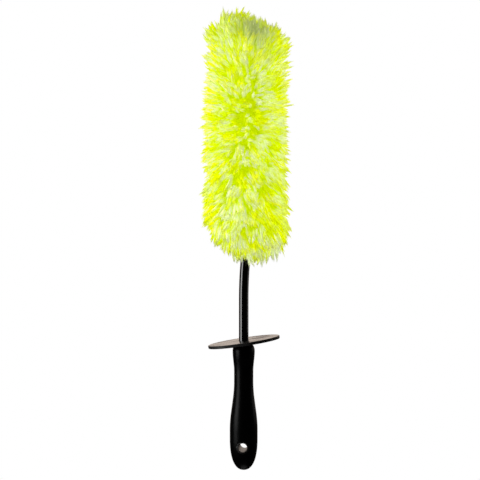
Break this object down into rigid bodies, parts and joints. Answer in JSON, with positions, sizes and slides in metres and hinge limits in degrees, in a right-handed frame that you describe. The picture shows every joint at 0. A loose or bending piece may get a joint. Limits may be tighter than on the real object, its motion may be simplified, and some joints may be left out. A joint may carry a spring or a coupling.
{
  "type": "wheel brush",
  "caption": "Flexible-shaft wheel brush with a long soft pile head, a round splash guard and a turned soft-touch handle with a hang hole.",
  "frame": {"origin": "centre of the hang hole, on the handle's axis", "axes": "+Z along the handle and shaft towards the head, -Y out of the hang hole towards the front, +X to the right as seen from the front; the guard leans down towards -X"},
  "size_m": [0.081, 0.081, 0.457],
  "materials": {
    "handle_core_plastic": "satin",
    "grip_rubber": "satin",
    "shaft_plastic": "gloss",
    "guard_plastic": "gloss",
    "ring_rubber": "satin",
    "hidden_plastic": "satin",
    "foam": "matte",
    "knit_backing": "matte",
    "seam_thread": "matte",
    "tie_plastic": "satin",
    "pile": "matte"
  },
  "bodies": {
    "root": {"handle_core": "handle_core_plastic", "handle_grip": "grip_rubber", "shaft": "shaft_plastic", "foam_collar": "hidden_plastic", "foam_sleeve": "foam", "tip_cap": "hidden_plastic", "tip_pad": "foam", "backing_tube": "knit_backing", "backing_end": "knit_backing", "side_seam": "seam_thread", "end_seam": "seam_thread", "hem_band": "knit_backing", "cable_tie": "tie_plastic", "pile_tube": "pile", "pile_end": "pile"},
    "guard_ring": {"guard_o_ring": "ring_rubber"},
    "guard": {"guard_disc": "guard_plastic"}
  },
  "joints": [
    {"name": "guard_slide", "type": "slide", "parent": "root", "child": "guard_ring", "axis": [0, 0, 1], "range_m": [0, 0.04]},
    {"name": "guard_spin", "type": "hinge", "parent": "guard_ring", "child": "guard", "pos_m": [0, 0, 0.1015], "axis": [0, 0, 1], "continuous": true}
  ]
}
